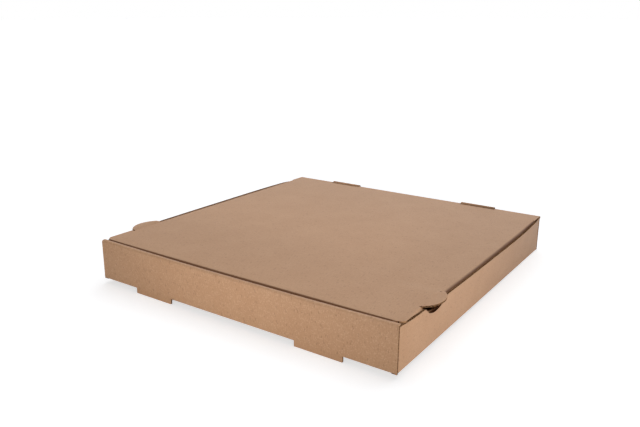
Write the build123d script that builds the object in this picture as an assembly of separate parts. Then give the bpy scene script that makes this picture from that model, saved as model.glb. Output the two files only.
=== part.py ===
from build123d import *
import os
from math import cos, hypot, radians, sin, sqrt

# A pizza box folded from one die-cut sheet of fine-flute corrugated board, shut.
# +X runs along the front wall, +Y from the front wall to the hinge, +Z up. The origin is on the ground,
# below the middle of the box. The sheet is split at the hinge crease only, into the tray and the lid.

# The board and its creases, in millimetres
board = 1.6
fold_radius = 0.4            # inside radius of a crease
layer_gap = 0.25             # air between two layers that lie together
flute_pitch = 3.4
liner = 0.25                 # each facing of the board
flute_web = 0.3              # the wavy middle sheet, seen at a raw edge
flute_depth = 1.2            # how far the open flutes are cut into a raw edge

# The closed box
box_width = 360.0            # raw end to raw end of the front wall
box_depth = 370.0            # front face to back face
box_height = 43.6            # underside of the floor to the top of the closed lid
front_bow = 3.2              # how far the front wall's crest is pushed out at mid length
side_bow = 5.9               # the same for the side walls' top edges
side_drop = 0.5              # air between a side wall's top edge and the lid

# Feet and lock tabs of the front wall
foot_drop = 5.2
foot_length = 51.0
foot_inset = 51.5            # box end to foot
lock_margin = 1.5            # how much shorter than the foot a lock tab is, at each end
lock_drop = 3.5              # lock tab below the floor's underside
lock_room = 1.8              # slot behind a lock tab
lock_taper = 2.0

# Corner flaps of the side walls
front_flap_length = 55.0
rear_flap_length = 60.0
flap_chamfer = 6.0           # free corners of a corner flap
flap_clearance = 0.4         # inner front panel to side wall

# Hinge crease, and the tabs that stand up through the lid at it
hinge_gap = 0.15
hinge_tab_rise = 1.5         # above the lid
hinge_tab_length = 46.0
hinge_tab_inset = 57.0       # box end to tab
hinge_tab_corner = 0.8
hinge_slot_side = 0.6        # slot beyond the tab, at each end
hinge_slot_room = 0.35       # slot beyond the tab's far corner

# Thumb tabs of the lid, over the notches of the side walls
thumb_centre = 64.0          # from the front face
thumb_half_width = 21.0
thumb_reach = 11.0
notch_centre = 61.0
notch_half_width = 18.5
notch_depth = 9.0

# The lid
lid_overhang = 0.5           # raw side edge beyond the box's width, at each side
dust_overhang = 0.1          # rounded side fold beyond the box's width
lid_front_gap = 0.9          # front wall to the lid's front fold
corner_setback = 0.5         # raw front corner behind the front fold
tuck_depth = 36.0
tuck_inset = 6.0             # box end to tuck flap
tuck_taper = 14.0
lean = 4.0                   # degrees that the lid's flaps lean inwards
dust_depth = 33.0
dust_rear = 25.0             # back face to dust flap
dust_slant = 6.0             # how far a dust flap's ends lean
dust_front = 15.0            # dust flap's front end before the thumb tab's middle

# Levels and places worked out from the sizes above
half_width = box_width / 2
half_depth = box_depth / 2
underside = foot_drop
floor_top = underside + board
crest = underside + box_height
lid_under = crest - board
crease_out = fold_radius + board
crease_top = underside + crease_out
side_top = lid_under - side_drop
front_wall_depth = 3 * board + 2 * layer_gap
foot_outer = half_width - foot_inset
foot_inner = foot_outer - foot_length
hinge_y = half_depth - board
hinge_z = lid_under
back_top = hinge_z - board - hinge_gap
rear_flap_top = back_top - layer_gap
corner_y = half_depth - board - layer_gap - crease_out
hinge_tab_outer = half_width - hinge_tab_inset
hinge_tab_inner = hinge_tab_outer - hinge_tab_length
thumb_y = thumb_centre - half_depth
thumb_end = thumb_y + thumb_half_width
notch_y = notch_centre - half_depth
thumb_radius = (thumb_half_width**2 + thumb_reach**2) / (2 * thumb_reach)
notch_radius = (notch_half_width**2 + notch_depth**2) / (2 * notch_depth)
lid_half = half_width + lid_overhang
fold_half = half_width + dust_overhang
tuck_half = half_width - tuck_inset
lid_front = front_wall_depth + lid_front_gap - half_depth
dust_end = half_depth - dust_rear


def ring_quarter(centre, start):
    # Section of a right-angle crease: a quarter of a ring, as thick as the board.
    outer = CenterArc(centre, crease_out, start, 90)
    inner = CenterArc(centre, fold_radius, start, 90)
    return make_face([outer, inner, Line(outer @ 0, inner @ 0), Line(outer @ 1, inner @ 1)])


def along_x(section, start, end):
    # A section drawn with Y to the right and Z up, run from one X to another.
    return extrude(Plane.YZ.offset(start) * section, amount=end - start)


def along_y(section, start, end):
    # A section drawn with X to the right and Z up, run from one Y to another.
    return extrude(Plane.XZ.offset(-end) * section, amount=end - start)


def along_z(section, start, end):
    return extrude(Plane.XY.offset(start) * section, amount=end - start)


def rectangle(left, right, low, high):
    return Pos((left + right) / 2, (low + high) / 2) * Rectangle(right - left, high - low)


def both_sides(*pieces):
    # The pieces, and their mirror images across the box's middle.
    return list(pieces) + [mirror(piece, about=Plane.YZ) for piece in pieces]


def front_lean(x):
    # The crest of the front wall follows a parabola that ends at the corners.
    return front_bow * (1 - (x / half_width) ** 2)


def front_section(x):
    # Outer panel up, crest across, inner panel down: a board-thick hairpin that leans out at mid length.
    out = front_lean(x)
    leg = floor_top + layer_gap
    outer = FilletPolyline(
        (-half_depth, crease_top),
        (-half_depth - out, crest),
        (-half_depth - out + front_wall_depth, crest),
        (-half_depth + front_wall_depth, leg),
        radius=crease_out,
    )
    inner = FilletPolyline(
        (-half_depth + board, crease_top),
        (-half_depth - out + board, lid_under),
        (-half_depth - out + front_wall_depth - board, lid_under),
        (-half_depth + front_wall_depth - board, leg),
        radius=fold_radius,
    )
    ends = [Line(outer @ 0, inner @ 0), Line(outer @ 1, inner @ 1)]
    return Plane.YZ.offset(x) * make_face(outer.edges() + inner.edges() + ends)


def front_wall():
    # The double wall, without the ends of its inner panel, which would meet the side walls.
    hairpin = loft([front_section(x) for x in (-half_width, 0, half_width)])
    inner_end = half_width - board - flap_clearance
    room = rectangle(-half_depth + board, -half_depth + 2 * front_wall_depth, underside, lid_under)
    hairpin -= both_sides(along_x(room, inner_end, half_width + board))
    crease = ring_quarter((-half_depth + crease_out, crease_top), 180)
    outer_end = half_width - crease_out
    panel = rectangle(-half_depth, -half_depth + board, underside, crease_top)
    foot = rectangle(-half_depth, -half_depth + board, 0, crease_top)
    return [
        hairpin,
        along_x(crease, -foot_inner, foot_inner),
        *both_sides(along_x(crease, foot_outer, outer_end)),
        *both_sides(along_x(panel, outer_end, half_width)),
        *both_sides(along_x(foot, foot_inner, foot_outer)),
        *both_sides(lock_tab()),
    ]


def lock_tab():
    # Tongue of the inner front panel, pushed down through the slot that the foot leaves in the floor.
    left, right = foot_inner + lock_margin, foot_outer - lock_margin
    top = floor_top + layer_gap + board
    outline = Polygon(
        (left, top),
        (left, underside),
        (left + lock_taper, underside - lock_drop),
        (right - lock_taper, underside - lock_drop),
        (right, underside),
        (right, top),
        align=None,
    )
    return along_y(outline, front_wall_depth - board - half_depth, front_wall_depth - half_depth)


def bowed_edge(x, amount):
    # Along a side wall, the bow follows one minus the fourth power of the distance from mid length.
    steps = [-1 + k / 4 for k in range(9)]
    return Spline([(x + amount * (1 - u**4), u * corner_y) for u in steps])


def side_wall():
    # Straight at its crease, bowed at its top edge, with the thumb notch cut from that edge.
    foot_strip = Plane.XY.offset(crease_top) * rectangle(
        half_width - board, half_width, -corner_y, corner_y
    )
    outer = bowed_edge(half_width, side_bow)
    inner = bowed_edge(half_width - board, side_bow)
    ends = [Line(outer @ 0, inner @ 0), Line(outer @ 1, inner @ 1)]
    top_strip = Plane.XY.offset(side_top) * make_face([outer, inner, *ends])
    wall = loft([foot_strip, top_strip], ruled=True)
    notch = Pos(notch_y, side_top - notch_depth + notch_radius) * Circle(notch_radius)
    return wall - along_x(notch, half_width - side_bow - board, half_width + 2 * side_bow)


def front_flap_section(x, lean_out):
    # A front corner flap lies between the two front panels and leans with them.
    near = -half_depth + board + layer_gap
    out = lean_out * (side_top - crease_top) / (crest - crease_top)
    foot = [(near, crease_top), (near + board, crease_top)]
    top = [(near + board - out, side_top), (near - out, side_top)]
    return Plane.YZ.offset(x) * make_face(Polyline(*foot, *top, close=True))


def front_corner_flap(centre_x):
    # The free corners are cut off, so that the flap slides in between the panels.
    end = centre_x - front_flap_length
    flap = loft([front_flap_section(centre_x, 0), front_flap_section(end, front_lean(end))], ruled=True)
    square = Rot(0, 0, 45) * Rectangle(flap_chamfer * sqrt(2), flap_chamfer * sqrt(2))
    corners = [Pos(end, crease_top) * square, Pos(end, side_top) * square]
    front, back = -half_depth - front_bow, front_wall_depth - half_depth
    return flap - [along_y(corner, front, back) for corner in corners]


def rear_corner_flap(centre_x):
    outline = rectangle(centre_x - rear_flap_length, centre_x, crease_top, rear_flap_top)
    outline = chamfer(outline.vertices().group_by(Axis.X)[0], flap_chamfer)
    front = half_depth - 2 * board - layer_gap
    return along_y(outline, front, front + board)


def side_pieces():
    # One side: floor crease, wall, and a corner crease and flap at each end.
    centre_x = half_width - crease_out
    return [
        along_y(ring_quarter((centre_x, crease_top), -90), -corner_y, corner_y),
        side_wall(),
        along_z(ring_quarter((centre_x, -corner_y), -90), crease_top, side_top),
        along_z(ring_quarter((centre_x, corner_y), 0), crease_top, rear_flap_top),
        front_corner_flap(centre_x),
        rear_corner_flap(centre_x),
    ]


def back_wall():
    # Full width outside the corner flaps. Two tabs go on up past the hinge crease.
    outline = rectangle(-half_width, half_width, crease_top, back_top)
    low_end = rectangle(half_width - crease_out, half_width, underside, crease_top)
    tab = rectangle(hinge_tab_inner, hinge_tab_outer, crease_top, crest + hinge_tab_rise)
    tab = fillet(tab.vertices().group_by(Axis.Y)[-1], hinge_tab_corner)
    outline += both_sides(low_end, tab)
    crease = ring_quarter((half_depth - crease_out, crease_top), -90)
    outer_end = half_width - crease_out
    return [along_y(outline, hinge_y, half_depth), along_x(crease, -outer_end, outer_end)]


def floor_panel():
    outline = Rectangle(box_width - 2 * crease_out, box_depth - 2 * crease_out)
    slot_end = front_wall_depth + lock_room - half_depth
    slot = rectangle(foot_inner, foot_outer, -half_depth, slot_end)
    return along_z(outline - both_sides(slot), underside, floor_top)


def flute_cell():
    # One open flute at a raw edge: a rounded-off triangle between a facing and the wavy sheet.
    # Local Z points out of the board, and the edge lies at zero.
    width = flute_pitch - 2 * flute_web
    height = board - 2 * liner - flute_web
    outline = make_face(Polyline((-width / 2, 0), (width / 2, 0), (0, height), close=True))
    return extrude(Pos(0, liner - board / 2, -flute_depth) * outline, amount=flute_depth + 2 * board)


def open_flutes(start, end, edge=lambda place: 0):
    # Flutes side by side along local X, standing on the two facings in turn. The edge is straight, unless
    # a function tells how far out it lies at each place.
    cell = flute_cell()
    turned = Rot(0, 0, 180) * cell
    step = flute_pitch / 2
    count = int((end - start) / step) - 1
    first = (start + end - (count - 1) * step) / 2
    places = [first + k * step for k in range(count)]
    return [Pos(x, 0, edge(x)) * (turned if k % 2 else cell) for k, x in enumerate(places)]


def placed(cells, plane):
    return [plane * cell for cell in cells]


def tray():
    body = floor_panel() + front_wall() + both_sides(*side_pieces()) + back_wall()
    # Raw ends of the front and back walls, at all four corners of the box.
    front_end = Plane((half_width, board / 2 - half_depth, 0), x_dir=(0, 0, 1), z_dir=(1, 0, 0))
    back_end = Plane((half_width, half_depth - board / 2, 0), x_dir=(0, 0, 1), z_dir=(1, 0, 0))
    cells = placed(open_flutes(underside, crest - crease_out), front_end)
    cells += placed(open_flutes(underside, back_top), back_end)
    return body - both_sides(*cells)


def flap_face(run_in, fold, depth, sign):
    # Section of a lid panel's edge that turns down: flat to the fold, then down and inwards by the lean.
    path = FilletPolyline(
        (run_in, crest),
        (fold, crest),
        (fold - sign * depth * sin(radians(lean)), crest - depth * cos(radians(lean))),
        radius=crease_out,
    )
    side = Side.RIGHT if sign > 0 else Side.LEFT
    return make_face(Wire(path.edges()).offset_2d(board, side=side, closed=True))


def tuck_flap():
    # Front flap, tucked in behind the double wall, with tapered corners.
    section = flap_face(lid_front + crease_out + board, lid_front, tuck_depth, -1)
    flap = along_x(section, -tuck_half, tuck_half)
    low, side = crest - tuck_depth - board, tuck_half + board
    corner = Polygon((side, low), (tuck_half - tuck_taper, low), (side, crest - tuck_taper), align=None)
    return flap - both_sides(along_y(corner, lid_front - board, lid_front + tuck_depth))


def dust_flap():
    # Side flap, from behind the thumb tab almost to the hinge. The thumb tab is cut out of its top.
    section = flap_face(fold_half - crease_out - board, fold_half, dust_depth, 1)
    low = crest - dust_depth - board
    front_end = thumb_y - dust_front
    outline = Polygon(
        (front_end, crest + board),
        (front_end + dust_slant, low),
        (dust_end - dust_slant, low),
        (dust_end, crest - crease_out),
        (dust_end, crest + board),
        align=None,
    )
    outline -= Pos(thumb_y, crest + thumb_radius - thumb_reach) * Circle(thumb_radius)
    return along_y(section, front_end, dust_end) & along_x(outline, half_width / 2, half_width + board)


def lid_panel():
    # The flat top, with its raw edges, thumb tabs, and the strips that its folds take left out.
    panel = rectangle(-lid_half, lid_half, lid_front + corner_setback, hinge_y)
    tab = Pos(lid_half + thumb_reach - thumb_radius, thumb_y) * Circle(thumb_radius)
    side_strip = rectangle(fold_half - crease_out, lid_half + board, thumb_end, dust_end)
    front_strip = rectangle(-tuck_half, tuck_half, lid_front, lid_front + crease_out)
    return along_z(panel + both_sides(tab) - both_sides(side_strip) - front_strip, lid_under, crest)


def side_edge(y):
    # How far out the lid's raw side edge lies: straight, then round the thumb tab.
    across = min(abs(y - thumb_y), thumb_half_width)
    return lid_half + thumb_reach - thumb_radius + sqrt(thumb_radius**2 - across**2)


def hinge_slot():
    # The lid's slot around a hinge tab, deep enough for the tab's far corner as the lid swings.
    reach = hypot(board, board + hinge_tab_rise) + hinge_slot_room
    opening = rectangle(hinge_y - reach, half_depth + board, lid_under - 2 * board, crest + board)
    return along_x(opening, hinge_tab_inner - hinge_slot_side, hinge_tab_outer + hinge_slot_side)


def lid():
    # The crushed crease at the hinge is a roll, centred on the line that the lid turns about.
    roll = along_x(Pos(hinge_y, hinge_z) * Circle(board), -lid_half, lid_half)
    body = lid_panel() + [tuck_flap(), roll, *both_sides(dust_flap())]
    body -= both_sides(hinge_slot())
    # Open flutes on the raw side edges, from the front corner to where the thumb tab ends.
    middle = Plane((0, 0, (crest + lid_under) / 2), x_dir=(0, 1, 0), z_dir=(1, 0, 0))
    start = lid_front + corner_setback
    return body - both_sides(*placed(open_flutes(start, thumb_end, side_edge), middle))


os.makedirs("parts", exist_ok=True)
for name, solid in {"tray": tray(), "lid": lid()}.items():
    export_step(solid, f"parts/{name}.step")
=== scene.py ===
import math

import bmesh
import bpy
import numpy as np
from mathutils import Matrix, Vector


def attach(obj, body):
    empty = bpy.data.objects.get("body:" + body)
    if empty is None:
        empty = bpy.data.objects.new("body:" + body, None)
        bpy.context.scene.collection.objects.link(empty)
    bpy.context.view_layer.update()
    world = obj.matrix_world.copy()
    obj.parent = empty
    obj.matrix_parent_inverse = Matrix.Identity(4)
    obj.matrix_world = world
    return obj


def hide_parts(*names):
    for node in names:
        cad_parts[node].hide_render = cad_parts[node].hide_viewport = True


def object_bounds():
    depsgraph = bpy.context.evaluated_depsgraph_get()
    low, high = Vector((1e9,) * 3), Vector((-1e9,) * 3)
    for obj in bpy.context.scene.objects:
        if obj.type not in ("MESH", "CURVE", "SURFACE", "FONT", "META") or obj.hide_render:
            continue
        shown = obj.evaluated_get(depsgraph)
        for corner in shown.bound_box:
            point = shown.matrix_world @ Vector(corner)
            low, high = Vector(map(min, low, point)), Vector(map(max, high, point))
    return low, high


# A shut pizza box of fine-flute kraft board. Sizes are in millimetres until they reach a mesh.
print("pizza box: frame")
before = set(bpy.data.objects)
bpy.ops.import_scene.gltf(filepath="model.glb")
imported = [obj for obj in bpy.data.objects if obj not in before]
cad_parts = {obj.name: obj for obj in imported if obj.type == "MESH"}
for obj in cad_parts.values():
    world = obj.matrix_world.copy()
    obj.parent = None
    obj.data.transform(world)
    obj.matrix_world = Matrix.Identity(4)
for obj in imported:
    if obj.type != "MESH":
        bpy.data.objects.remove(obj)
cadBox = [list(corner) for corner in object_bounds()]
mm = 0.001
scene = bpy.context.scene

# The photograph's camera, as fitted to the box's corners
viewer = {
    "place": (0.39093, -0.60500, 0.27678),  # metres
    "azimuth": 34.278,
    "elevation": 16.375,
    "roll": 0.388,
    "focal": 654.2,  # pixels of a picture 640 wide
    "pictureWidth": 640,
    "sensor": 36.0,
    "clip": (0.01, 50),
}


def makeCamera(v):
    # Right, up and back are the camera's own axes: back from the two angles, then a small roll about it.
    a, e, r = (math.radians(v[k]) for k in ("azimuth", "elevation", "roll"))
    back = Vector((math.sin(a) * math.cos(e), -math.cos(a) * math.cos(e), math.sin(e)))
    level = Vector((0, 0, 1)).cross(back).normalized()
    upright = back.cross(level)
    right = math.cos(r) * level + math.sin(r) * upright
    up = math.cos(r) * upright - math.sin(r) * level
    data = bpy.data.cameras.new("camera")
    data.sensor_width = v["sensor"]
    data.lens = v["focal"] / v["pictureWidth"] * v["sensor"]
    data.clip_start, data.clip_end = v["clip"]
    camera = bpy.data.objects.new("camera", data)
    turn = Matrix((right, up, back)).transposed()
    camera.matrix_world = Matrix.Translation(v["place"]) @ turn.to_4x4()
    scene.collection.objects.link(camera)
    scene.camera = camera


# The board, and the box that is folded from it
board = {
    "thickness": 1.6,
    "liner": 0.2,
    "medium": 0.3,  # the wavy middle sheet
    "pitch": 3.4,
    "openDepth": 5.0,  # how far one can look into the flutes
    "crease": 0.6,  # middle of the board in a sharp crease
    "creaseGap": 0.05,  # what stays open inside it
    "roll": 1.2,  # middle of the board in a soft crease
    "recess": 0.15,  # wavy sheet behind the cut edge
    "torn": 0.6,  # share by which that recess varies
    "tornWaves": (1.9, 0.37),  # and the two waves in which it does, in radians for each millimetre
    "ridgeSink": 0.02,  # how far the wavy sheet's ridges run into the liners
    "flutePoints": 8,
    "shortEdge": 0.6,  # of a flute: an edge below this shows no wavy sheet
    "step": 5.0,  # widest step between rows of points
    "innerGrain": 0.9,  # metres along the sheet to the grain of the inner face
    "weld": 0.012,  # points nearer than this become one
    "sliver": 0.005,  # and edges shorter than this are dissolved
    "sharpAngle": 38.0,  # degrees
}
box = {
    "halfWidth": 180.0,
    "halfDepth": 185.0,
    "floor": 6.0,  # middle of the floor panel
    "crest": 48.8,
    "crestRoll": 1.6,  # middle of the board at the crest's front edge
    "crestRubAndHighlight": (1.8, 2.2),  # lighter paper, partly rubbed and partly a painted highlight on the rounded crest: how far below the crest, and half its width
    "frontDepth": 5.3,
    "frontBow": 3.2,
    "bowFoot": 1.0,  # the front wall starts to bow out this far above the middle of the floor
    "innerMargin": 2.0,  # inner front panel, short of the side walls
    "innerLift": 0.25,  # and clear of the floor
    "sideBow": 5.75,
    "bowSkew": 0.12,  # the side walls' bow is fuller towards the back
    "sideTop": 46.7,
    "sideRise": 1.1,  # the top edge is higher between its ends
    "riseSpan": (165.0, 140.0),  # where it begins and is full, front and back
    "backTop": 45.45,
    "flapY": 182.35,  # middle of the corner flaps
    "rearFlapTop": 45.2,
    "footInner": 77.5,
    "footOuter": 128.5,
    "lockMargin": 1.5,  # lock tabs within the slots that the feet leave
    "lockDepth": 3.5,
    "lockTaper": 2.0,
    "slotEnd": -177.9,
    "flapChamfer": 6.0,
    "frontFlapEnd": 123.0,
    "rearFlapEnd": 118.0,
    "tabInner": 77.0,
    "tabOuter": 123.0,
    "tabTop": 50.3,
    "tabCorner": 0.8,
    "notchY": -123.5,
    "notchHalf": 19.5,
    "notchDepth": 9.0,
}
half = board["thickness"] / 2
core = half - board["liner"]
right, back, up = np.eye(3)
front, down = -back, -up


def stations(*marks, step=board["step"]):
    # Even stations between each pair of neighbouring marks, no further apart than the step.
    runs = []
    for a, b in zip(marks, marks[1:]):
        count = max(int(np.ceil(abs(b - a) / step)), 1)
        runs.append(np.linspace(a, b, count + 1)[:-1])
    return np.concatenate([*runs, [marks[-1]]])


def joined(*runs):
    # Runs of stations end to end, each without its last, which the next run begins with.
    return np.concatenate([*(run[:-1] for run in runs[:-1]), runs[-1]])


def place(x, y, z):
    # Points from their three coordinates, each spread over the grid that they share.
    return np.stack(np.broadcast_arrays(x, y, z), axis=-1).astype(float)


def unit(v):
    # The same directions at length 1: each vector divided by its length.
    return v / np.maximum(np.linalg.norm(v, axis=-1, keepdims=True), 1e-12)


def waves(points, wavelength, seed, count=7):
    # Smooth unevenness: a sum of sine waves in random directions, about one wavelength long, from -1 to 1.
    rng = np.random.default_rng(seed)
    ways = unit(rng.normal(size=(count, 3))) * 2 * np.pi
    ways = ways / (wavelength * rng.uniform(0.7, 1.6, (count, 1)))
    return np.sin(points @ ways.T + rng.uniform(0, 2 * np.pi, count)).mean(axis=-1) * 1.6


class Shell:
    # Gathers grids of points into one mesh. Each grid faces the way it is told.
    def __init__(self):
        self.points, self.flats, self.quads, self.kinds, self.folds, self.count = [], [], [], [], [], 0

    def grid(self, points, flat, facing, kind=0, fold=0.0, keep=None):
        # Quads between neighbouring points. Flat is the points' place on the unfolded sheet, kind is the
        # finish for all quads or for each row of them, and keep tells which columns of quads there are.
        rows, columns = points.shape[:2]
        index = self.count + np.arange(rows * columns).reshape(rows, columns)
        quads = np.stack([index[:-1, :-1], index[1:, :-1], index[1:, 1:], index[:-1, 1:]], axis=-1)
        turn = np.cross(points[1:, 1:] - points[:-1, :-1], points[:-1, 1:] - points[1:, :-1])
        facing = np.broadcast_to(facing, points.shape)[:-1, :-1]
        if (turn * facing).sum() < 0:
            quads = quads[..., ::-1]
        kinds = np.broadcast_to(np.reshape(kind, (-1, 1)), quads.shape[:2])
        if keep is not None:
            quads, kinds = quads[:, keep], kinds[:, keep]
        quads = quads.reshape(-1, 4)
        self.points.append(points.reshape(-1, 3))
        self.flats.append(np.broadcast_to(flat, (rows, columns, 2)).reshape(-1, 2))
        self.folds.append(np.broadcast_to(fold, (rows, columns)).reshape(-1))
        self.quads.append(quads)
        self.kinds.append(kinds.reshape(-1))
        self.count += rows * columns

    def cutEdge(self, edge, normal, flat, outward, keep=None):
        # A cut along the flutes: the board's two liners and its core in three flat bands.
        levels = np.array([half, core, -core, -half])[:, None, None]
        self.grid(edge + levels * normal, flat, outward, kind=1, keep=keep)

    def openEdge(self, edge, normal, flat, outward, closed):
        # A cut across the flutes: liner, gap and liner, with the wavy sheet standing in the gap. The gap's
        # ends are closed where the edge ends.
        into = -unit(outward)
        steps = [(half, 0), (core, 0), (core, 1), (-core, 1), (-core, 0), (-half, 0)]
        depth = board["openDepth"]
        rows = np.stack([edge + level * normal + depth * deep * into for level, deep in steps])
        facing = np.zeros_like(rows)
        facing[0] = -into  # only the liner's own cut looks straight out, so it alone sets the turn
        # painted shade: the gap's inner faces, its back and its end caps take the wavy sheet's dark finish
        self.grid(rows, flat, facing, kind=np.array([1, 2, 2, 2, 1]))
        for end, sign in closed:
            cap = np.stack([rows[[1, 4], end], rows[[2, 3], end]])
            away = sign * (edge[1] - edge[0] if end == 0 else edge[-1] - edge[-2])
            self.grid(cap, flat[end], away, kind=2)
        self.wavySheet(edge, normal, flat, into)

    def wavySheet(self, edge, normal, flat, into):
        # Middle sheet: height is a sine of the distance across the flutes, carried straight into the board.
        b = board
        across = flat[:, 1] / mm
        order = np.argsort(across)
        across = across[order]
        length = across[-1] - across[0]
        if length < b["shortEdge"] * b["pitch"]:
            return
        fine = np.linspace(across[0], across[-1], int(length / b["pitch"] * b["flutePoints"]) + 2)

        def on(v):
            # Values given along the edge, read off at the fine stations.
            return np.stack([np.interp(fine, across, v[order, k]) for k in range(v.shape[1])], axis=-1)

        line, across3, inward, flats = on(edge), unit(on(normal)), unit(on(into)), on(flat)
        swing = core - b["medium"] / 2 + b["ridgeSink"]
        phase = 2 * np.pi * fine / b["pitch"]
        quick, slow = b["tornWaves"]
        torn = b["recess"] * (1 + b["torn"] * np.sin(fine * quick) * np.sin(fine * slow))
        middle = line + across3 * (swing * np.sin(phase))[:, None]
        thick = across3 * b["medium"] / 2
        near = middle + inward * torn[:, None]
        far = middle + inward * b["openDepth"]
        loop = np.stack([near + thick, far + thick, far - thick, near - thick, near + thick])
        facing = np.zeros_like(loop)
        facing[0] = across3
        # painted shade: all but the sheet's outer edge take the dark finish
        self.grid(loop, flats, facing, kind=np.array([2, 2, 2, 1]))
        for end, sign in ((0, -1), (-1, 1)):
            cap = np.stack([loop[[0, 3], end], loop[[1, 2], end]])
            self.grid(cap, flats[end], sign * (line[-1] - line[0]), kind=2)

    def panel(
        self, mid, normal, flat, start=None, end=None, first=None, last=None, fold=0.0, sides=1, crush=0.0
    ):
        # One stretch of board around a grid of middle points. The first index runs along the flutes, the
        # second across them. A border is None where the board goes on, "open" or "cut" where it is cut
        # across or along the flutes, or tells with yes and no which of its steps are cut. In a sharp crease
        # the inner side is crushed, so there the board is thinner. Two sides make the mirror image too.
        for sign in (1, -1) if sides == 2 else (1,):
            flip = np.array([sign, 1, 1])
            m, n = mid * flip, np.broadcast_to(normal, mid.shape) * flip
            f = np.stack(np.broadcast_arrays(flat[0] * sign, flat[1]), axis=-1) * mm
            f = np.broadcast_to(f, mid.shape[:2] + (2,))
            soft = np.broadcast_to(fold, mid.shape[:2])
            self.grid(m + n * half, f, n, fold=soft)
            inner = np.broadcast_to(half - crush, mid.shape[:2])[..., None]
            self.grid(m - n * inner, f + (board["innerGrain"], 0), -n, fold=soft)
            borders = (
                (start, m[0], n[0], f[0], m[0] - m[1]),
                (end, m[-1], n[-1], f[-1], m[-1] - m[-2]),
                (first, m[:, 0], n[:, 0], f[:, 0], m[:, 0] - m[:, 1]),
                (last, m[:, -1], n[:, -1], f[:, -1], m[:, -1] - m[:, -2]),
            )
            for kind, edge, across, flats, outward in borders:
                if kind is None:
                    continue
                if isinstance(kind, str) and kind == "open":
                    closed = [(0, -1)] * (first is not None) + [(-1, 1)] * (last is not None)
                    self.openEdge(edge, across, flats, outward, closed)
                else:
                    self.cutEdge(edge, across, flats, outward, None if isinstance(kind, str) else kind)

    def piece(self, name, body, node, materials, shape):
        # The shape function moves the joined points a little, then equal points are merged.
        points = shape(np.concatenate(self.points)) * mm
        low, high = np.array(cadBox)
        points = np.clip(points, low, high)
        quads = np.concatenate(self.quads)
        mesh = bpy.data.meshes.new(name)
        mesh.vertices.add(len(points))
        mesh.vertices.foreach_set("co", points.ravel())
        mesh.loops.add(quads.size)
        mesh.loops.foreach_set("vertex_index", quads.ravel())
        mesh.polygons.add(len(quads))
        mesh.polygons.foreach_set("loop_start", np.arange(len(quads)) * 4)
        mesh.polygons.foreach_set("material_index", np.concatenate(self.kinds))
        mesh.update(calc_edges=True)
        sheet = mesh.uv_layers.new(name="sheet")
        sheet.uv.foreach_set("vector", np.concatenate(self.flats)[quads.ravel()].ravel())
        fold = mesh.attributes.new("fold", "FLOAT", "POINT")
        fold.data.foreach_set("value", np.concatenate(self.folds))
        work = bmesh.new()
        work.from_mesh(mesh)
        bmesh.ops.remove_doubles(work, verts=work.verts, dist=board["weld"] * mm)
        bmesh.ops.dissolve_degenerate(work, edges=work.edges, dist=board["sliver"] * mm)
        work.to_mesh(mesh)
        work.free()
        mesh.polygons.foreach_set("use_smooth", np.ones(len(mesh.polygons), bool))
        mesh.set_sharp_from_angle(angle=math.radians(board["sharpAngle"]))
        for material in materials:
            mesh.materials.append(material)
        made = bpy.data.objects.new(name, mesh)
        scene.collection.objects.link(made)
        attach(made, body)
        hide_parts(node)
        print(f"pizza box: {name}, {sum(len(p.vertices) - 2 for p in mesh.polygons)} triangles")


def turns(begin, finish, count=7):
    # Even angles between two that are given in degrees, as radians.
    return np.radians(np.linspace(begin, finish, count))


def crushed(angles, radius):
    # Crushed depth along a crease: none at its two ends, and at its middle all that the radius lacks.
    share = (angles - angles.min()) / (angles.max() - angles.min())
    lacking = np.maximum(half + board["creaseGap"] - radius, 0)
    return lacking * np.sin(np.pi * np.clip(share, 0, 1)) ** 0.5


def leanOut(x, z):
    # The front wall's crest is pushed out along a parabola, and its foot stays where it is.
    foot = box["floor"] + box["bowFoot"]
    rise = np.clip((z - foot) / (box["crest"] - foot), 0, 1)
    return box["frontBow"] * np.clip(1 - (x / box["halfWidth"]) ** 2, 0, 1) * rise


def between(values, low, high):
    # Which steps between the values lie inside a range of distance from the middle.
    middle = np.abs(values[1:] + values[:-1]) / 2
    return (middle > low) & (middle < high)


def within(values, low, high):
    # The stations from the low mark to the high one, both taken in.
    return values[(values >= low - 0.01) & (values <= high + 0.01)]


def ease(value, low, high):
    # From 0 at the low mark to 1 at the high mark, level at both.
    share = np.clip((value - low) / (high - low), 0, 1)
    return share * share * (3 - 2 * share)


def circleOn(chord, sagitta):
    # Radius of a circle through a chord of this half length, standing this far out at its middle.
    return (chord**2 + sagitta**2) / (2 * sagitta)


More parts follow.
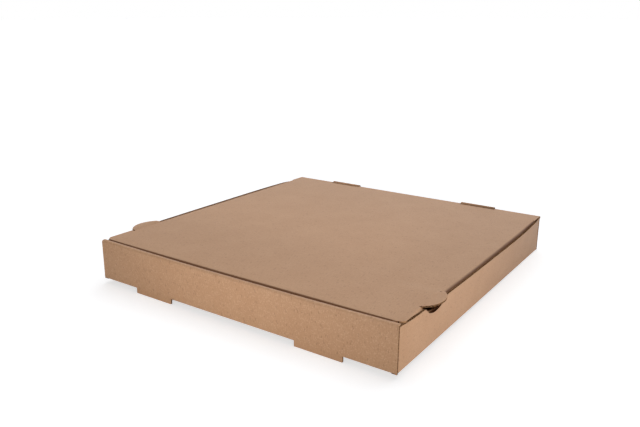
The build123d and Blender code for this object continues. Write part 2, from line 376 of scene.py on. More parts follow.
def foldTray(s):
    b, r = box, board["crease"]
    w, d = b["halfWidth"], b["halfDepth"]
    inW, inD = w - half - r, d - half - r  # where the creases of the floor begin
    cornerY, creaseTop = b["flapY"] - r, b["floor"] + r
    lockInner, lockOuter = b["footInner"] + b["lockMargin"], b["footOuter"] - b["lockMargin"]
    low = b["floor"] - half
    fine = board["pitch"] / 4
    quarter = np.pi / 2

    # Floor, with the two slots that the feet leave
    xs = stations(-inW, -b["footOuter"], -lockOuter, -lockInner, -b["footInner"])
    xs = joined(xs, stations(-b["footInner"], b["footInner"]), -xs[::-1])
    notch0, notch1 = b["notchY"] - b["notchHalf"], b["notchY"] + b["notchHalf"]
    ys = joined(
        stations(b["slotEnd"], notch0),
        stations(notch0, notch1, step=1.2),
        stations(notch1, cornerY, inD),
    )
    x, y = xs[:, None], ys[None, :]
    slots = between(xs, b["footInner"], b["footOuter"])
    ends = ys[1:] > cornerY + 0.01
    s.panel(place(x, y, b["floor"]), down, (x, y), start=ends, end=ends, first=slots)

    # Creases from the floor to the front wall and the back wall, and the strips beside the slots
    a = turns(0, 90)[None, :]
    squeeze = crushed(a, r)
    yFront = stations(-inD, -cornerY, b["slotEnd"])[None, :]
    strips = (
        (within(xs, b["footOuter"], inW), 2, "open", None),
        (within(xs, -b["footInner"], b["footInner"]), 1, "open", "open"),
    )
    for run, sides, start, end in strips:
        x = run[:, None]
        s.panel(place(x, yFront, b["floor"]), down, (x, yFront), start, end, sides=sides)
        curve = place(x, -inD - r * np.sin(a), creaseTop - r * np.cos(a))
        normal, flat = place(0, -np.sin(a), -np.cos(a)), (x, -inD - r * a)
        s.panel(curve, normal, flat, start, end or "cut", fold=1, sides=sides, crush=squeeze)
    x = xs[:, None]
    curve = place(x, inD + r * np.sin(a), creaseTop - r * np.cos(a))
    s.panel(curve, place(0, np.sin(a), -np.cos(a)), (x, inD + r * a), "cut", "cut", fold=1, crush=squeeze)

    # Front wall: up, over the crest and down again inside, as one profile carried along X
    outer, inner = b["crestRoll"], board["crease"]
    shelf = b["frontDepth"] - 2 * half - outer - inner
    top, turn = b["crest"] - half, turns(0, 90, 9)
    rise = stations(creaseTop, top - outer, step=fine)
    fall = stations(top - inner, b["floor"] + half + b["innerLift"])
    flatRise, flatFall = rise * 0, fall[1:] * 0
    roll, cosines, sines = turn[1:], np.cos(turn), np.sin(turn)
    py = np.concatenate([
        flatRise,
        outer - outer * np.cos(roll),
        outer + shelf + inner * sines,
        flatFall + outer + shelf + inner,
    ])
    py = py - d + half
    pz = np.concatenate([rise, top - outer + outer * np.sin(roll), top - inner + inner * cosines, fall[1:]])
    ny = np.concatenate([flatRise - 1, -np.cos(roll), sines, flatFall + 1])
    nz = np.concatenate([flatRise, np.sin(roll), cosines, flatFall])
    squeeze = np.concatenate([flatRise, roll * 0, crushed(turn, inner), flatFall])[None, :]
    along = np.concatenate([[0], np.cumsum(np.hypot(np.diff(py), np.diff(pz)))])
    inside = (np.arange(len(py)) >= len(rise) + len(turn) * 2 - 1)[None, :]
    # painted highlight, with some rubbing: a lighter band just below the crest on its outer side, given to
    # the fold attribute
    below, reach = b["crestRubAndHighlight"]
    soft = np.clip(1 - np.abs(pz - b["crest"] + below) / reach, 0, 1) * (ny < 0.5)
    wide = joined(stations(-w, -inW), xs, stations(inW, w))
    innerW = w - b["innerMargin"]
    x = np.where(inside, np.clip(wide, -innerW, innerW)[:, None], wide[:, None])
    frontFlat = -inD - r * quarter
    noLock = ~between(wide, lockInner, lockOuter)
    wall, normal = place(x, py - leanOut(x, pz), pz), place(0, ny, nz)
    flat = (x, frontFlat - along)
    s.panel(wall, normal, flat, "open", "open", last=noLock, fold=soft[None, :], crush=squeeze)

    # Ends of the outer panel below the crease, the feet, and the tabs that lock the inner panel
    zs = stations(creaseTop, low)[None, :]
    x = stations(inW, w)[:, None]
    for normal, facing in ((front, 1), (back, -1)):
        wall = place(x, facing * (half - d), zs)
        flat = (x, facing * (frontFlat + creaseTop - zs))
        s.panel(wall, normal, flat, "cut", "open", last="cut", sides=2)
    zs = stations(creaseTop, 0)[None, :]
    x = within(xs, b["footInner"], b["footOuter"])[:, None]
    flat = (x, frontFlat + creaseTop - zs)
    s.panel(place(x, half - d, zs), front, flat, "open", "open", last="cut", sides=2)
    zs = stations(fall[-1], low, low - b["lockDepth"])[None, :]
    x = within(xs, lockInner, lockOuter)
    share = ((x - lockInner) / (lockOuter - lockInner))[:, None]
    taper = b["lockTaper"] * np.clip((low - zs) / b["lockDepth"], 0, 1)
    x = lockInner + taper + share * (lockOuter - lockInner - 2 * taper)
    flat = (x, frontFlat - along[-1] - fall[-1] + zs)
    s.panel(place(x, py[-1], zs), back, flat, "open", "open", last="cut", sides=2)

    # Side walls: creased up from the floor, bowed at the top edge, with the thumb notch
    ys = np.concatenate([[-cornerY], ys[:-1]])
    a = turns(0, 90)[:, None]
    y = ys[None, :]
    curve = place(inW + r * np.sin(a), y, creaseTop - r * np.cos(a))
    normal, flat = place(np.sin(a), 0, -np.cos(a)), (inW + r * a, y)
    s.panel(curve, normal, flat, first="cut", last="cut", fold=1, sides=2, crush=crushed(a, r))
    height = b["sideTop"] - creaseTop
    shares = stations(0, (b["rearFlapTop"] - creaseTop) / height, 1, step=0.12)[:, None]
    radius = circleOn(b["notchHalf"], b["notchDepth"])
    off = np.clip(np.abs(y - b["notchY"]), 0, b["notchHalf"])
    notch = b["notchDepth"] - radius + np.sqrt(radius**2 - off**2)
    begins, full = b["riseSpan"]
    z = creaseTop + shares * (height + b["sideRise"] * ease(-np.abs(y), -begins, -full) - notch)
    bow = b["sideBow"] * (1 - (y / cornerY) ** 4) * (1 + b["bowSkew"] * y / cornerY)
    sideFlat = inW + r * quarter
    rearStep = (shares[1:, 0] + shares[:-1, 0]) / 2 * height > b["rearFlapTop"] - creaseTop
    wall = place(w - half + bow * (z - creaseTop) / height, y, z)
    s.panel(wall, right, (sideFlat + z - creaseTop, y), end="open", last=rearStep, sides=2)

    # Corner flaps, bent in from the side walls
    flaps = ((-1, b["sideTop"], b["frontFlapEnd"]), (1, b["rearFlapTop"], b["rearFlapEnd"]))
    for sign, top, flapEnd in flaps:
        share = shares if sign < 0 else shares[:-1] / shares[-2]
        z = creaseTop + share * (top - creaseTop)
        a = turns(0, 90)[None, :]
        away = sign * cornerY
        curve = place(inW + r * np.cos(a), away + sign * r * np.sin(a), z)
        normal, flat = place(np.cos(a), sign * np.sin(a), 0), (sideFlat + z - creaseTop, away + sign * r * a)
        s.panel(curve, normal, flat, "open", "open", fold=1, sides=2, crush=crushed(a, r))
        x = stations(inW, flapEnd + b["flapChamfer"], flapEnd)[None, :]
        cut = np.clip(b["flapChamfer"] - (x - flapEnd), 0, None)
        z = creaseTop + cut + share * (top - creaseTop - 2 * cut)
        y = away + sign * r - (leanOut(x, z) if sign < 0 else 0)
        flat = (sideFlat + z - creaseTop, away + sign * (r * quarter + inW - x))
        s.panel(place(x, y, z), back * sign, flat, "open", "open", last="cut", sides=2)

    # Back wall, and the two tabs that stand up through the lid
    tabInner, tabOuter, tabTop, corner = (b[k] for k in ("tabInner", "tabOuter", "tabTop", "tabCorner"))
    marks = [-w, -inW, -tabOuter, -tabInner, tabInner, tabOuter, inW, w]
    wideBack = np.unique(np.concatenate([wide, stations(*marks)]))
    rearFlat = inD + r * quarter - creaseTop
    zs = stations(creaseTop, b["backTop"], step=fine)[None, :]
    x = wideBack[:, None]
    noTab = ~between(wideBack, tabInner, tabOuter)
    s.panel(place(x, d - half, zs), back, (x, rearFlat + zs), "open", "open", last=noTab)
    rounded = tabTop - corner + corner * np.sin(turns(0, 80, 6))
    zs = joined(stations(b["backTop"], tabTop - corner), rounded)[None, :]
    cut = corner - np.sqrt(np.clip(corner**2 - np.clip(zs - tabTop + corner, 0, None) ** 2, 0, None))
    x = within(wideBack, tabInner, tabOuter)
    share = ((x - tabInner) / (tabOuter - tabInner))[:, None]
    x = tabInner + cut + share * (tabOuter - tabInner - 2 * cut)
    s.panel(place(x, d - half, zs), back, (x, rearFlat + zs), "open", "open", last="cut", sides=2)


lid = {
    "top": 48.8,
    "foldX": 178.1,  # where the side folds begin
    "edgeX": 180.5,  # raw side edge
    "frontY": -178.8,
    "cornerBack": 0.5,
    "tuckHalf": 174.0,
    "tuckDepth": 36.0,
    "tuckTaper": 14.0,
    "lean": 4.0,  # degrees by which the flaps lean in
    "dustDepth": 33.0,
    "dustFront": -136.0,
    "dustRear": 160.0,
    "dustSlant": 6.0,
    "thumbY": -122.3,
    "thumbHalf": 20.4,
    "thumbReach": 9.6,
    "slit": 0.03,  # half the cut between a thumb tab and the strip in front of it
    "tightRun": 4.0,  # stations stand close this far in front of the thumb tab's rear end
    "hingeY": 183.4,
    "hingeZ": 47.2,
    "railTurn": 262.0,  # degrees that the rear rails are rolled
    "slotInner": 76.4,
    "slotOuter": 123.6,
    "slotFront": 179.56,
    "frontRoll": 1.7,  # how much wider the front fold rolls at mid length
    "sideRoll": 1.9,  # and the side folds,
    "sideRollFront": (-128.0, -100.0),  # from nothing to all of it at the front
    "sideRollRear": (162.0, 100.0),  # and at the rear
    "shaded": (-0.1, 0.7),  # turn in radians over which the front fold takes its painted shade
    # and over which the side folds take theirs
    "sideShaded": (0.0, 0.9),
    "sheetY": 620.0,  # the lid's place on the flat sheet, where Y runs the other way
}


def foldLid(s):
    b, r, sharp = lid, board["roll"], board["crease"]
    mid = b["top"] - half
    foldY = b["frontY"] + half + sharp
    thumbRear, thumbFront = b["thumbY"] + b["thumbHalf"], b["thumbY"] - b["thumbHalf"]
    radius = circleOn(b["thumbHalf"], b["thumbReach"])
    flatY = b["sheetY"]

    def thumbEdge(y):
        # The raw side edge, out of which the thumb tab stands as part of a circle.
        across = np.clip(np.abs(y - b["thumbY"]), 0, b["thumbHalf"])
        return b["edgeX"] + b["thumbReach"] - radius + np.sqrt(radius**2 - across**2)

    # The flat panel as far as its folds, and the strips beside it that end in raw edges
    marks = [b["slotInner"], b["slotOuter"], b["tuckHalf"], b["foldX"]]
    xs = stations(*[-m for m in marks[::-1]], *marks)
    ys = stations(foldY, thumbFront, thumbRear, b["dustRear"], b["slotFront"])
    x, y = xs[:, None], ys[None, :]
    slots = between(xs, b["slotInner"], b["slotOuter"])
    s.panel(place(x, y, mid), up, (x, flatY - y), last=slots)
    x = within(xs, b["tuckHalf"], b["foldX"])[:, None]
    y = np.array([[b["frontY"] + b["cornerBack"], foldY]])
    s.panel(place(x, y, mid), up, (x, flatY - y), "cut", first="cut", sides=2)
    share = np.linspace(0, 1, 4)[:, None]
    strip = np.concatenate([y[0, :1], stations(foldY, thumbFront - b["slit"])])
    tab = stations(thumbFront + b["slit"], thumbRear, step=1.5)
    for y in (strip[None, :], tab[None, :]):
        x = b["foldX"] + share * (thumbEdge(y) - b["foldX"])
        s.panel(place(x, y, mid), up, (x, flatY - y), end="open", first="cut", last="cut", sides=2)
    x = b["foldX"] + share * (b["edgeX"] - b["foldX"])
    y = stations(b["dustRear"], b["slotFront"])[None, :]
    s.panel(place(x, y, mid), up, (x, flatY - y), end="open", first="cut", sides=2)

    # Rear rails between the slots of the hinge tabs, each rolled round the line that the lid turns about
    middle = within(xs, -b["slotInner"], b["slotInner"])
    outer = np.concatenate([within(xs, b["slotOuter"], b["foldX"]), x[1:, 0]])
    a = turns(0, b["railTurn"], 20)[None, :]
    y = stations(b["slotFront"], b["hingeY"], step=1.5)[None, :]
    for run, sides in ((middle, 1), (outer, 2)):
        x = run[:, None]
        s.panel(place(x, y, mid), up, (x, flatY - y), "open", "open", sides=sides)
        rolled = place(x, b["hingeY"] + half * np.sin(a), b["hingeZ"] + half * np.cos(a))
        normal, flat = place(0, np.sin(a), np.cos(a)), (x, flatY - b["hingeY"] - half * a)
        s.panel(rolled, normal, flat, "cut", "cut", fold=1, sides=sides)

    # Front fold and tuck flap. The fold is sharp at its ends and rolls wider between them, and its round is
    # marked for painted shade.
    lean = math.radians(b["lean"])
    bend = turns(0, 90 + b["lean"], 9)
    xs = within(xs, -b["tuckHalf"], b["tuckHalf"])[:, None]
    roll = sharp + b["frontRoll"] * (1 - (xs / b["tuckHalf"]) ** 2)
    centreZ = mid - roll
    lowest = b["top"] - b["tuckDepth"] * math.cos(lean) + half * math.sin(lean)
    drop = (centreZ - roll * math.sin(lean) - lowest) / math.cos(lean)
    fall = stations(0, 1, step=0.15)[None, 1:] * drop
    out = np.hstack([roll * np.sin(bend), roll * math.cos(lean) - fall * math.sin(lean)])
    z = np.hstack([
        centreZ + roll * np.cos(bend),
        centreZ - roll * math.sin(lean) - fall * math.cos(lean),
    ])
    level = np.zeros(fall.shape[1])
    nOut = np.concatenate([np.sin(bend), level + math.cos(lean)])
    nUp = np.concatenate([np.cos(bend), level - math.sin(lean)])
    along = np.hstack([roll * bend, roll * bend[-1] + fall])
    # painted shade: -1 on the fold's round darkens it where the front wall's crest covers it
    soft = -np.concatenate([ease(bend, *b["shaded"]), level])[None, :]
    squeeze = np.hstack([crushed(bend, roll), fall * 0])
    lowest = b["top"] - b["tuckDepth"] - 2 * half
    slant = (b["tuckTaper"] + 2 * half) / (b["top"] - b["tuckTaper"] - lowest)
    reach = np.minimum(b["tuckHalf"], b["tuckHalf"] - b["tuckTaper"] + (z - lowest) * slant)
    x = xs * reach / b["tuckHalf"]
    flap, normal = place(x, foldY - out, z), place(0, -nOut, nUp)
    flat = (x, flatY - foldY + along)
    s.panel(flap, normal, flat, "open", "open", last="cut", fold=soft, crush=squeeze)

    # Side folds and dust flaps. The part below the thumb tab has the tab's shape cut out of its top.
    bend = bend[:, None]

    def foldRoll(y):
        # Middle radius of the side fold: a soft crease's, and wider between its two ends.
        (front0, front1), (rear0, rear1) = b["sideRollFront"], b["sideRollRear"]
        return r + b["sideRoll"] * ease(y, front0, front1) * ease(-y, -rear0, -rear1)

    def downFlap(travel, y, roll):
        # A point of the flap by its travel from the fold's start: round the crease, then straight down.
        turn = np.minimum(travel / roll, bend[-1])
        rest = np.clip(travel - roll * bend[-1], 0, None)
        x = b["foldX"] + roll * np.sin(turn) - rest * math.sin(lean)
        z = mid - roll + roll * np.cos(turn) - rest * math.cos(lean)
        return place(x, y, z), place(np.sin(turn), 0, np.cos(turn)), z

    def travelOf(roll, begin):
        # Stations round the crease and down the flap, squeezed into what is left below the beginning.
        lowest = b["top"] - b["dustDepth"] * math.cos(lean) + half * math.sin(lean)
        drop = (mid - roll - roll * math.sin(lean) - lowest) / math.cos(lean)
        fall = stations(0, 1, step=0.17)[1:, None]
        whole = np.vstack([roll * bend, roll * bend[-1] + fall * drop])
        return begin + whole / whole[-1:] * (whole[-1:] - begin)

    def slantAt(z):
        # How far the flap's ends slant in, in proportion to the drop below the crease.
        return b["dustSlant"] * np.clip(mid - r - z, 0, None) / (b["dustDepth"] - r + half)

    ys = within(ys, thumbRear, b["dustRear"])[None, :]
    roll = foldRoll(ys)
    travel = travelOf(roll, 0)
    z = downFlap(travel, ys, roll)[2]
    y = thumbRear + (ys - thumbRear) * (1 - slantAt(z) / (b["dustRear"] - thumbRear))
    points, normal, _ = downFlap(travel, y, roll)
    # painted shade: -1 on the side fold's round darkens it where the side wall covers it
    soft = -ease(travel / roll, *b["sideShaded"]) * (travel < roll * bend[-1] + 0.01)
    s.panel(points, normal, (b["foldX"] + travel, flatY - y), end="open", last="cut", fold=soft, sides=2)

    tight = thumbRear - b["tightRun"]
    y0 = stations(b["dustFront"], tight, step=1.5)
    y0 = joined(y0, stations(tight, thumbRear, step=0.4))[None, :]
    roll = foldRoll(y0)
    centreZ = mid - roll
    off = np.clip(np.abs(y0 - b["thumbY"]), 0, b["thumbHalf"])
    notchZ = b["top"] + radius - b["thumbReach"] - np.sqrt(radius**2 - off**2)
    arc = roll * np.arccos(np.clip((notchZ - centreZ) / roll, -1, 1))
    straight = roll * bend[-1] + (centreZ - roll * math.sin(lean) - notchZ) / math.cos(lean)
    begin = np.where(notchZ > centreZ - roll * math.sin(lean), arc, straight)
    travel = travelOf(roll, begin)
    z = downFlap(travel, y0, roll)[2]
    y = thumbRear + (y0 - thumbRear) * (1 - slantAt(z) / (thumbRear - b["dustFront"]))
    points, normal, _ = downFlap(travel, y, roll)
    flat = (b["foldX"] + travel, flatY - y)
    s.panel(points, normal, flat, start="open", end="open", first="cut", sides=2)


# How the folded board departs from its flat and straight form
uneven = {
    # wavelength, seed and amount of a slight waviness
    "tray": (130, 3, (0.10, 0.10, 0.08)),
    "lidX": (70, 5, 0.1),
    "lidY": (80, 6, 0.08),
    "lidZ": (90, 8, 0.12),
    "trayFoot": (2.0, 14.0),  # height over which the tray's waviness grows to all of it
    "still": (-170.0, -110.0),  # the lid is free in front of Y 110, and its hinge stays still behind 170
    "crown": 0.4,
    "sag": 0.45,  # front edge at mid length
    "sagAt": -178.0,
    "sagReach": 55.0,
    "bulge": 0.7,  # right side fold at mid length
    "bulgeX": 178.0,
    "bulgeY": 10.0,
    "bulgeReach": 165.0,
    "droop": 0.35,  # strips in front of the thumb tabs
    "dip": 1.1,  # and their ends by the tabs
    "dipFrom": (-163.0, -148.0),
    "droopWidth": 2.4,
    "lift": 1.45,  # thumb tabs
    "liftWidth": 2.8,
    "liftRear": (100.0, 105.0),
    "tabsEnd": -90.0,
    "sideSag": 0.9,  # right side behind the thumb tab
    "sideSagX": (110.0, 178.0),
    "sideSagY": (-107.0, -98.0),
    "sideSagFade": (-50.0, 110.0),
    "sideSagLost": 0.65,  # share of it that fades towards the rear
    "corner": 3.4,  # width of the cut front corners
    "cornerSlope": 1.5,
}


def shapeTray(points):
    # Slight unevenness of the whole sheet, the same for any two layers that lie together. The feet stay as
    # they are.
    wavelength, seed, amount = uneven["tray"]
    low, high = uneven["trayFoot"]
    share = np.clip((points[:, 2:] - low) / (high - low), 0, 1)
    return points + waves(points, wavelength, seed)[:, None] * amount * share


def shapeLid(points):
    # The panel is crowned and dips at mid length of its front. Its right side bulges and sags, the strips in
    # front of the thumb tabs droop, the tabs stand up, and the front corners are cut.
    u = uneven
    x, y, z = points.T
    free = ease(-y, *u["still"])
    bowed = np.clip(1 - (x / box["halfWidth"]) ** 2, 0, 1)
    nearFront = np.exp(-(((y - u["sagAt"]) / u["sagReach"]) ** 2))
    flat = z > lid["top"] - 2 * half - 0.05
    beside = flat * (y < u["tabsEnd"])
    tab = y > lid["thumbY"] - lid["thumbHalf"]
    strip = beside * np.clip((x - lid["foldX"]) / u["droopWidth"], 0, 1)
    raised = beside * np.clip((np.abs(x) - lid["foldX"]) / u["liftWidth"], 0, 1)
    raised = raised * tab * ease(-y, *u["liftRear"])
    sunk = u["droop"] + u["dip"] * ease(y, *u["dipFrom"])
    droop = sunk * strip * (1 - tab) - u["lift"] * raised
    fading = 1 - u["sideSagLost"] * ease(y, *u["sideSagFade"])
    droop += u["sideSag"] * ease(x, *u["sideSagX"]) * ease(y, *u["sideSagY"]) * fading * free
    corner = lid["frontY"] + lid["cornerBack"] + u["cornerSlope"] * (np.abs(x) - lid["edgeX"] + u["corner"])
    middle = np.clip(1 - ((y - u["bulgeY"]) / u["bulgeReach"]) ** 2, 0, 1)
    wavy = []
    for key in ("lidX", "lidY", "lidZ"):
        wavelength, seed, amount = u[key]
        wavy.append(free * amount * waves(points, wavelength, seed))
    moved = points.copy()
    moved[:, 0] += u["bulge"] * middle * np.clip(x / u["bulgeX"], 0, 1) ** 3 + wavy[0]
    moved[:, 1] = np.where(flat, np.maximum(y, corner), y) + wavy[1]
    moved[:, 2] += free * u["crown"] * bowed * (1 - nearFront) - u["sag"] * bowed * nearFront - droop
    moved[:, 2] += wavy[2]
    return moved


class Value:
    # A number that a socket gives. Arithmetic on it adds Math nodes.
    def __init__(self, nodes, socket):
        self.nodes, self.socket = nodes, socket

    def math(self, operation, *inputs):
        # One Math node. Its inputs are values or constants.
        numbered = {f"i{k}": value for k, value in enumerate(inputs)}
        return self.nodes.node("ShaderNodeMath", 0, {"operation": operation}, **numbered)

    def __add__(self, other):
        return self.math("ADD", self, other)

    def __sub__(self, other):
        return self.math("SUBTRACT", self, other)

    def __rsub__(self, other):
        return self.math("SUBTRACT", other, self)

    def __mul__(self, other):
        return self.math("MULTIPLY", self, other)

    __radd__, __rmul__ = __add__, __mul__


class Nodes:
    # The nodes of a material or of the world.
    def __init__(self, tree):
        self.tree = tree

    def node(self, kind, output=0, settings=None, **sockets):
        # Settings come first, a ramp's stops among them. Sockets are named, or numbered as i0, i1 and so on.
        made = self.tree.nodes.new(kind)
        for key, value in (settings or {}).items():
            if key == "stops":
                self.setStops(made.color_ramp.elements, value)
            else:
                setattr(made, key, value)
        for key, value in sockets.items():
            self.join(value, made.inputs[int(key[1:])] if key[1:].isdigit() else made.inputs[key])
        return Value(self, made.outputs[output])

    def setStops(self, elements, stops):
        # As many stops as are given, each with its place and colour.
        while len(elements) < len(stops):
            elements.new(0.5)
        for element, (position, shade) in zip(elements, stops):
            element.position, element.color = position, shade

    def join(self, value, socket):
        # Links the socket to a value, or gives it a constant.
        if isinstance(value, Value):
            self.tree.links.new(value.socket, socket)
        else:
            socket.default_value = value

    def limits(self, value, low, high, fromLow=0.0, fromHigh=1.0):
        # From low to high while the value goes from its own low mark to its high one, level at both.
        smooth = {"interpolation_type": "SMOOTHSTEP"}
        return self.node("ShaderNodeMapRange", 0, smooth, i0=value, i1=fromLow, i2=fromHigh, i3=low, i4=high)

    def mix(self, factor, first, second):
        # The first colour where the factor is 0, the second where it is 1.
        return self.node("ShaderNodeMix", 2, {"data_type": "RGBA"}, i0=factor, i6=first, i7=second)

    def seen(self, *kinds):
        # 1 for rays of the named kinds, 0 for all others.
        path = self.node("ShaderNodeLightPath").socket.node.outputs
        total = sum(Value(self, path[kind]) for kind in kinds)
        return total.math("MINIMUM", total, 1.0)


class Finish(Nodes):
    # One material.
    def __init__(self, name):
        self.material = bpy.data.materials.new(name)
        self.material.use_nodes = True
        super().__init__(self.material.node_tree)

    def surface(self, sockets):
        # What the shader's sockets take: a value each, or a constant.
        shader = self.tree.nodes["Principled BSDF"]
        for key, value in sockets.items():
            self.join(value, shader.inputs[key])
        return self.material


def linear(red, green, blue):
    # A colour as it is seen on a screen, 0 to 255, turned into the shader's own scale.
    shade = np.array([red, green, blue]) / 255
    return (*np.where(shade < 0.04045, shade / 12.92, ((shade + 0.055) / 1.055) ** 2.4).tolist(), 1.0)


kraft = {
    "paper": (184, 143, 109),
    "dark": (168, 126, 92),
    "light": (200, 160, 127),
    "speck": (116, 78, 50),
    "fleck": (222, 186, 158),
    "deep": (90, 46, 16),  # painted shade for the lid's folds that the tray's walls cover
    # share of that painted shade where the fold is darkest
    "foldShadeShare": 0.72,
    "roughness": (0.45, 0.55),
    "roughGrain": (0.3, 0.7),  # the grain's values over which it goes from one to the other
    "specular": 0.16,
    # scale for each millimetre, detail, roughness of the noise, and its share in the shade
    "clouds": (0.03, 2.0, 0.6, 0.16),
    "grain": (0.62, 3.0, 0.7, 0.34),
    "fibres": (0.9, 3.0, 0.65, 0.3),
    "fibreStretch": 0.35,
    "middle": 0.4,
    "spread": 0.42,
    # scale, size, scarcity and strength of the spots
    "specks": (0.4, 0.26, 0.56, 0.27),
    "flecks": (0.5, 0.4, 0.45, 0.08),
    "spotCore": 0.4,  # share of a spot's size within which it is full
    "spotChoice": 0.45,  # scale of the noise that leaves spots out, as a share of theirs
    "spotFade": 0.1,
    # the front wall's paper is livelier by so much
    "frontEdge": (-185.0, -183.0),  # where on the sheet it begins
    "frontGrain": 0.1,
    "frontMiddle": 0.05,
    "frontSpecks": 0.1,
    "frontFlecks": 0.16,
    "flutesSeen": 0.05,
    # lighter paper in rubbed folds, and along the crest a painted highlight
    "rubbed": 0.3,
    "rubbedFold": (0.15, 0.95),
    "rubbedScale": 0.5,
    "rubbedPatches": (0.35, 0.7),
    "relief": {"flutes": 0.012, "grain": 0.03, "fibres": 0.02, "rubbed": 0.02},
    "bump": 0.5,
}


def makeLiner(name, k):
    # Kraft facing: even pulp with fine grain, short fibres, small specks, and the flutes as faint stripes of
    # painted shade.
    f = Finish(name)
    sheet = f.node("ShaderNodeUVMap", settings={"uv_map": "sheet"})
    flat = f.node("ShaderNodeVectorMath", settings={"operation": "SCALE"}, i0=sheet, Scale=1 / mm)
    across = f.node("ShaderNodeSeparateXYZ", 1, i0=flat)
    along = f.node("ShaderNodeMapping", i0=flat, Scale=(1.0, k["fibreStretch"], 1.0))
    plane = {"noise_dimensions": "2D"}

    def noise(vector, scale, detail=2.0, rough=0.6):
        sockets = {"Vector": vector, "Scale": scale, "Detail": detail, "Roughness": rough}
        return f.node("ShaderNodeTexNoise", 0, plane, **sockets)

    def spots(vector, scale, size, scarce):
        # Small spots at some cells of a pattern; noise leaves most of the cells out.
        settings = {"feature": "F1", "voronoi_dimensions": "2D"}
        cells = f.node("ShaderNodeTexVoronoi", 0, settings, Vector=vector, Scale=scale, Randomness=1.0)
        chosen = noise(flat, scale * k["spotChoice"], 0.0)
        spot = f.limits(cells, 1, 0, size * k["spotCore"], size)
        return spot * f.limits(chosen, 0, 1, scarce, scarce + k["spotFade"])

    clouds, grain = noise(flat, *k["clouds"][:3]), noise(flat, *k["grain"][:3])
    fibres = noise(along, *k["fibres"][:3])
    wall = f.limits(across, 1, 0, *k["frontEdge"])
    shade = clouds * k["clouds"][3] + grain * (wall * k["frontGrain"] + k["grain"][3])
    shade = shade + fibres * k["fibres"][3]
    middle = wall * k["frontMiddle"] + k["middle"]
    tone = f.limits(shade - middle, 0, 1, -k["spread"], k["spread"])
    stops = [(share, linear(*k[key])) for share, key in ((0, "dark"), (0.5, "paper"), (1, "light"))]
    paper = f.node("ShaderNodeValToRGB", 0, {"stops": stops}, i0=tone)
    specks = spots(along, *k["specks"][:3]) * (wall * k["frontSpecks"] + k["specks"][3])
    paper = f.mix(specks, paper, linear(*k["speck"]))
    flecks = spots(flat, *k["flecks"][:3]) * (wall * k["frontFlecks"] + k["flecks"][3])
    paper = f.mix(flecks, paper, linear(*k["fleck"]))
    # painted shade: the washboard of the flutes as faint darker stripes, besides its bump
    turn = across * (2 * math.pi / board["pitch"])
    flutes = 0.5 + 0.5 * turn.math("SINE", turn)
    paper = f.mix(flutes * k["flutesSeen"], paper, linear(*k["dark"]))
    settings = {"attribute_name": "fold", "attribute_type": "GEOMETRY"}
    fold = f.node("ShaderNodeAttribute", 2, settings)  # 1 in a rubbed fold and in the crest's band of painted highlight, -1 where shade is painted into a covered fold
    patches = f.limits(noise(flat, k["rubbedScale"]), 0, 1, *k["rubbedPatches"])
    rubbed = f.limits(fold, 0, 1, *k["rubbedFold"]) * patches
    # rubbed folds lighter; along the crest this is also a painted highlight
    paper = f.mix(rubbed * k["rubbed"], paper, linear(*k["light"]))
    # painted shade: the covered folds go towards the deep brown
    paper = f.mix(f.limits(fold, k["foldShadeShare"], 0, -1, 0), paper, linear(*k["deep"]))
    parts = {"flutes": flutes, "grain": grain, "fibres": fibres, "rubbed": rubbed}
    relief = sum(parts[key] * height for key, height in k["relief"].items())
    return f.surface({
        "Base Color": paper,
        "Roughness": f.limits(grain, *k["roughness"], *k["roughGrain"]),
        "Specular IOR Level": k["specular"],
        "Normal": f.node("ShaderNodeBump", Height=relief, Strength=k["bump"], Distance=mm),
    })


rawBoard = {
    "cut": (186, 141, 101),
    # painted shade: the wavy sheet and the inside of the flutes take this dark brown for the shade in the
    # hollows
    "middle": (78, 43, 20),
    "shades": (0.82, 1.1),  # from the darkest patch to the lightest
    "fuzz": 2600.0,
    "fuzzShare": 0.6,
    "patches": 180.0,
    "contrast": (0.35, 0.65),
    "roughness": 0.95,
    "specular": 0.15,
    "bump": 0.4,
    "bumpDepth": 0.1,
}


def makeCut(name, shade, k):
    # Cut edges, and in painted shade the wavy sheet and the flutes' hollows: torn fibres, uneven in shade.
    f = Finish(name)
    spot = f.node("ShaderNodeTexCoord", 3)
    fuzz = f.node("ShaderNodeTexNoise", Vector=spot, Scale=k["fuzz"], Detail=3.0, Roughness=0.7)
    patches = f.node("ShaderNodeTexNoise", Vector=spot, Scale=k["patches"], Detail=2.0)
    low, high = (linear(*np.clip(np.array(shade) * share, 0, 255)) for share in k["shades"])
    blend = fuzz * k["fuzzShare"] + patches * (1 - k["fuzzShare"])
    return f.surface({
        "Base Color": f.mix(f.limits(blend, 0, 1, *k["contrast"]), low, high),
        "Roughness": k["roughness"],
        "Specular IOR Level": k["specular"],
        "Normal": f.node("ShaderNodeBump", Height=fuzz, Strength=k["bump"], Distance=k["bumpDepth"] * mm),
    })


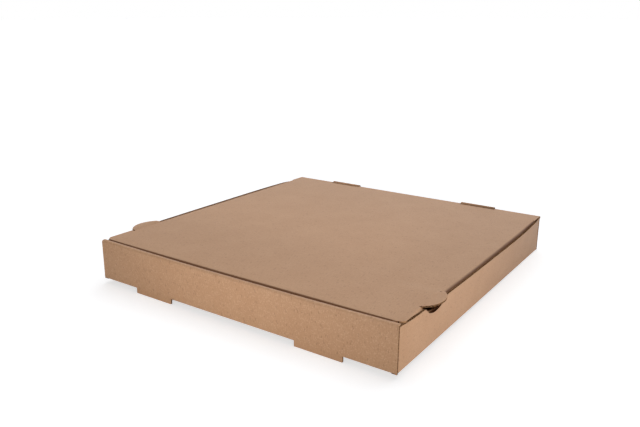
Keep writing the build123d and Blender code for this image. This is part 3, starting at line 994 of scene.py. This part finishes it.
# Floor, world and lamps. Places are in metres.
studio = {
    "world": 0.16,
    "floorSize": 30.0,
    "floorFront": (-185.0, 0.0),  # Y and Z, in millimetres, of the lines that the box rests on
    "floorRear": (183.0, 5.2),
    "floorGlow": 0.66,
    "floorPaint": (0.54, 0.552, 0.572, 1),
    "floorBounce": (0.8, 0.8, 0.8, 1),  # its paint for the light that it sends back to the box
    "suns": (
        # direction it comes from, width in degrees, share of full light that it gives square on
        ((-0.1, 0.5, 0.86), 70.0, 0.61),
        ((0.1, -1.0, 0.06), 5.0, 0.12),
    ),
    "lamps": (
        # place, aim, width, height, spread in degrees, watts: two low ones, as light that a white table
        # sends back, one above, and a narrow one along the lid towards the hinge tabs
        ((0.015, -0.45, 0.022), (0.015, -0.19, 0.022), 0.16, 0.034, 180, 0.34),
        ((0.56, -0.15, 0.022), (0.18, -0.15, 0.022), 0.16, 0.034, 180, 0.79),
        ((0.10, -0.22, 0.30), (0.10, -0.22, 0.05), 0.16, 0.16, 180, 0.06),
        ((-0.05, -0.26, 0.105), (-0.04, 0.185, 0.052), 0.30, 0.02, 24, 0.034),
    ),
}


def makeFloor(v):
    # A plane through the feet and the rear crease. What the camera sees of it glows nearly white and takes
    # the box's shadow on top; for every other ray it is plain pale paint.
    (y0, z0), (y1, z1) = v["floorFront"], v["floorRear"]
    slope = (z1 - z0) / (y1 - y0)
    reach = v["floorSize"]
    grid = np.array([(x, y) for y in (-reach, reach) for x in (-reach, reach)])
    height = z0 * mm + (grid[:, 1] - y0 * mm) * slope
    mesh = bpy.data.meshes.new("floor")
    mesh.from_pydata(np.column_stack([grid, height]).tolist(), [], [(0, 1, 3, 2)])
    floor = bpy.data.objects.new("floor", mesh)
    scene.collection.objects.link(floor)
    f = Finish("floorPaint")
    seen = f.seen("Is Camera Ray", "Is Glossy Ray")
    paint = f.surface({
        "Base Color": f.mix(seen, v["floorBounce"], v["floorPaint"]),
        "Roughness": 1.0,
        "Specular IOR Level": 0.0,
        "Emission Color": seen * v["floorGlow"],
        "Emission Strength": 1.0,
    })
    mesh.materials.append(paint)


def makeWorld(v):
    # White where it is looked at, and a weak light from all sides otherwise.
    world = bpy.data.worlds.new("studio")
    scene.world = world
    world.use_nodes = True
    w = Nodes(world.node_tree)
    seen = w.seen("Is Camera Ray", "Is Glossy Ray", "Is Transmission Ray")
    background = w.tree.nodes["Background"].inputs
    w.join((1, 1, 1, 1), background["Color"])
    w.join(v["world"] + (1 - v["world"]) * seen, background["Strength"])


def makeLamps(v):
    # Soft suns and lamps, each turned from its place to its aim. The camera doesn't see them.
    def hang(name, kind, spot, aim):
        lamp = bpy.data.lights.new(name, kind)
        made = bpy.data.objects.new(name, lamp)
        made.location = spot
        made.rotation_euler = (Vector(aim) - Vector(spot)).to_track_quat("-Z", "Y").to_euler()
        made.visible_camera = False
        scene.collection.objects.link(made)
        return lamp

    for number, (spot, width, share) in enumerate(v["suns"]):
        sun = hang(f"sun{number}", "SUN", spot, (0, 0, 0))
        sun.energy, sun.angle = share * math.pi, math.radians(width)
    for number, (spot, aim, width, tall, spread, watts) in enumerate(v["lamps"]):
        lamp = hang(f"softbox{number}", "AREA", spot, aim)
        lamp.shape, lamp.size, lamp.size_y = "RECTANGLE", width, tall
        lamp.spread, lamp.energy = math.radians(spread), watts


print("pizza box: camera and studio")
makeCamera(viewer)
makeFloor(studio)
makeWorld(studio)
makeLamps(studio)
scene.view_settings.view_transform = "Standard"

print("pizza box: board")
facing = makeLiner("kraftFacing", kraft)
cut = makeCut("cutEdge", rawBoard["cut"], rawBoard)
# painted shade: dark finish for the wavy sheet and the flutes' hollows
wavy = makeCut("wavySheet", rawBoard["middle"], rawBoard)
trayShell, lidShell = Shell(), Shell()
foldTray(trayShell)
trayShell.piece("trayBoard", "tray", "tray", (facing, cut, wavy), shapeTray)
foldLid(lidShell)
lidShell.piece("lidBoard", "lid", "lid", (facing, cut, wavy), shapeLid)

print("pizza box: done")
